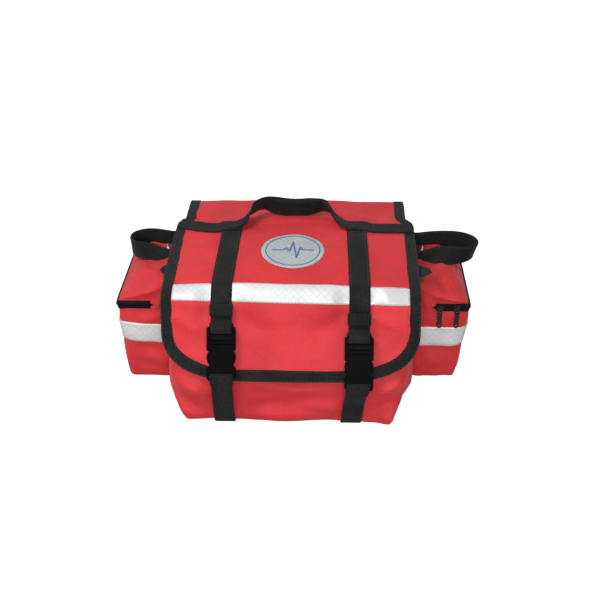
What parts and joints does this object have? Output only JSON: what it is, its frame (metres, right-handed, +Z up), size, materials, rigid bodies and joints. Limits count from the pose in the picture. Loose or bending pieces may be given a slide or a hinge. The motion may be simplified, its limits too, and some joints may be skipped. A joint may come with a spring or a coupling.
{
  "type": "trauma bag",
  "caption": "Soft first-responder trauma bag with a padded main compartment under a buckled flap, a front pocket, zipped end pockets, webbing handles and reflective tape",
  "frame": {"origin": "on the floor, at the middle of the bag's width, under the main compartment", "axes": "+Z up, +X to the bag's right seen from the front, front towards -Y"},
  "size_m": [0.452, 0.2895, 0.2022],
  "materials": {
    "red_fabric": "coated woven fabric",
    "reflective_tape": "retroreflective cloth",
    "ring_metal": "plated wire",
    "zip_metal": "black painted",
    "zip_tape": "coil zip tape",
    "buckle_plastic": "moulded, fine texture",
    "base_board": "sheet",
    "divider_fabric": "padded loop cloth",
    "black_webbing": "woven webbing"
  },
  "bodies": {
    "bag": {"main_front_panel": "red_fabric", "main_back_panel": "red_fabric", "main_left_panel": "red_fabric", "main_right_panel": "red_fabric", "main_bottom_panel": "red_fabric", "mouth_binding": "black_webbing", "base_board": "base_board", "long_divider": "divider_fabric", "cross_divider": "divider_fabric", "hinge_seam": "black_webbing", "front_pocket_shell": "red_fabric", "front_zip_tape": "zip_tape", "left_pocket_shell": "red_fabric", "left_zip_tape": "zip_tape", "left_pocket_reflector": "reflective_tape", "right_pocket_shell": "red_fabric", "right_zip_tape": "zip_tape", "right_pocket_reflector": "reflective_tape", "left_ring_tab": "black_webbing", "right_ring_tab": "black_webbing"},
    "flap": {"flap_top_panel": "red_fabric", "flap_top_binding": "black_webbing", "emblem_patch": "reflective_tape", "handle_anchors": "black_webbing", "left_strap_top": "black_webbing", "right_strap_top": "black_webbing"},
    "flap_drop": {"flap_front_panel": "red_fabric", "flap_front_binding": "black_webbing", "flap_reflector": "reflective_tape", "left_strap_front": "black_webbing", "right_strap_front": "black_webbing"},
    "carry_handle": {"carry_handle": "black_webbing"},
    "front_slider": {"front_zip_slider": "zip_metal"},
    "front_pull": {"front_zip_pull": "zip_metal"},
    "left_plug": {"left_strap_tail": "black_webbing", "left_buckle_plug": "buckle_plastic", "left_buckle_arms": "buckle_plastic"},
    "left_lower": {"left_buckle_socket": "buckle_plastic", "left_lower_strap": "black_webbing"},
    "left_lid": {"left_pocket_lid": "red_fabric"},
    "left_grab_handle": {"left_grab_handle": "black_webbing"},
    "left_ring": {"left_d_ring": "ring_metal"},
    "left_inner_slider": {"left_inner_slider": "zip_metal"},
    "left_inner_pull": {"left_inner_pull": "zip_metal"},
    "left_outer_slider": {"left_outer_slider": "zip_metal"},
    "left_outer_pull": {"left_outer_pull": "zip_metal"},
    "right_plug": {"right_strap_tail": "black_webbing", "right_buckle_plug": "buckle_plastic", "right_buckle_arms": "buckle_plastic"},
    "right_lower": {"right_buckle_socket": "buckle_plastic", "right_lower_strap": "black_webbing"},
    "right_lid": {"right_pocket_lid": "red_fabric"},
    "right_grab_handle": {"right_grab_handle": "black_webbing"},
    "right_ring": {"right_d_ring": "ring_metal"},
    "right_inner_slider": {"right_inner_slider": "zip_metal"},
    "right_inner_pull": {"right_inner_pull": "zip_metal"},
    "right_outer_slider": {"right_outer_slider": "zip_metal"},
    "right_outer_pull": {"right_outer_pull": "zip_metal"}
  },
  "joints": [
    {"name": "flap_open", "type": "hinge", "parent": "bag", "child": "flap", "pos_m": [0, 0.118, 0.1706], "axis": [-1, 0, 0], "range_deg": [0, 180], "deforming": ["flap_front_panel", "flap_front_binding", "flap_reflector", "left_strap_front", "right_strap_front", "left_buckle_arms", "right_buckle_arms"]},
    {"name": "flap_fold", "type": "hinge", "parent": "flap", "child": "flap_drop", "pos_m": [0, -0.106, 0.16084], "axis": [-1, 0, 0], "range_deg": [0, 54], "deforming": ["flap_front_panel", "flap_front_binding", "flap_reflector", "left_strap_front", "right_strap_front", "left_buckle_arms", "right_buckle_arms"]},
    {"name": "carry_handle_lift", "type": "hinge", "parent": "flap", "child": "carry_handle", "pos_m": [0, 0.04, 0.1802], "axis": [1, 0, 0], "range_deg": [0, 110]},
    {"name": "front_zip", "type": "slide", "parent": "bag", "child": "front_slider", "axis": [-1, 0, 0], "range_m": [0, 0.2]},
    {"name": "front_pull_flip", "type": "hinge", "parent": "front_slider", "child": "front_pull", "pos_m": [0.1, -0.099, 0.1409], "axis": [0, 1, 0], "range_deg": [0, 35]},
    {"name": "left_plug_slide", "type": "slide", "parent": "flap_drop", "child": "left_plug", "axis": [0, 0.4147, 0.91], "range_m": [0, 0.032], "deforming": ["left_buckle_arms"]},
    {"name": "left_lower_fold", "type": "hinge", "parent": "bag", "child": "left_lower", "pos_m": [-0.081, -0.1495, 0.004], "axis": [1, 0, 0], "range_deg": [0, 70], "deforming": ["left_buckle_arms"]},
    {"name": "left_lid_open", "type": "hinge", "parent": "bag", "child": "left_lid", "pos_m": [-0.1765, 0.01, 0.1385], "axis": [0, 1, 0], "range_deg": [0, 65]},
    {"name": "left_grab_lift", "type": "hinge", "parent": "bag", "child": "left_grab_handle", "pos_m": [-0.153, 0.025, 0.155], "axis": [0, 1, 0], "range_deg": [0, 46.8]},
    {"name": "left_ring_turn", "type": "hinge", "parent": "bag", "child": "left_ring", "pos_m": [-0.157, 0.025, 0.146], "axis": [0, 1, 0], "range_deg": [-40, 40]},
    {"name": "left_inner_zip", "type": "slide", "parent": "bag", "child": "left_inner_slider", "axis": [-1, 0, 0], "range_m": [0, 0.012]},
    {"name": "left_inner_pull_flip", "type": "hinge", "parent": "left_inner_slider", "child": "left_inner_pull", "pos_m": [-0.1815, 0.085, 0.1135], "axis": [1, 0, 0], "range_deg": [0, 160]},
    {"name": "left_outer_zip", "type": "slide", "parent": "bag", "child": "left_outer_slider", "axis": [-1, 0, 0], "range_m": [0, 0.01]},
    {"name": "left_outer_pull_flip", "type": "hinge", "parent": "left_outer_slider", "child": "left_outer_pull", "pos_m": [-0.2025, 0.085, 0.1135], "axis": [1, 0, 0], "range_deg": [0, 160]},
    {"name": "right_plug_slide", "type": "slide", "parent": "flap_drop", "child": "right_plug", "axis": [0, 0.4147, 0.91], "range_m": [0, 0.032], "deforming": ["right_buckle_arms"]},
    {"name": "right_lower_fold", "type": "hinge", "parent": "bag", "child": "right_lower", "pos_m": [0.081, -0.1495, 0.004], "axis": [1, 0, 0], "range_deg": [0, 70], "deforming": ["right_buckle_arms"]},
    {"name": "right_lid_open", "type": "hinge", "parent": "bag", "child": "right_lid", "pos_m": [0.1765, 0.01, 0.1385], "axis": [0, -1, 0], "range_deg": [0, 65]},
    {"name": "right_grab_lift", "type": "hinge", "parent": "bag", "child": "right_grab_handle", "pos_m": [0.153, 0.025, 0.155], "axis": [0, -1, 0], "range_deg": [0, 46.8]},
    {"name": "right_ring_turn", "type": "hinge", "parent": "bag", "child": "right_ring", "pos_m": [0.157, 0.025, 0.146], "axis": [0, -1, 0], "range_deg": [-40, 40]},
    {"name": "right_inner_zip", "type": "slide", "parent": "bag", "child": "right_inner_slider", "axis": [1, 0, 0], "range_m": [0, 0.012]},
    {"name": "right_inner_pull_flip", "type": "hinge", "parent": "right_inner_slider", "child": "right_inner_pull", "pos_m": [0.1815, -0.065, 0.1135], "axis": [-1, 0, 0], "range_deg": [0, 160]},
    {"name": "right_outer_zip", "type": "slide", "parent": "bag", "child": "right_outer_slider", "axis": [1, 0, 0], "range_m": [0, 0.01]},
    {"name": "right_outer_pull_flip", "type": "hinge", "parent": "right_outer_slider", "child": "right_outer_pull", "pos_m": [0.2025, -0.065, 0.1135], "axis": [-1, 0, 0], "range_deg": [0, 160]}
  ],
  "couplings": [
    {"joint": "flap_fold", "follows": "flap_open", "ratio": 0.3},
    {"joint": "left_grab_lift", "follows": "left_lid_open", "ratio": 0.72},
    {"joint": "right_grab_lift", "follows": "right_lid_open", "ratio": 0.72}
  ]
}
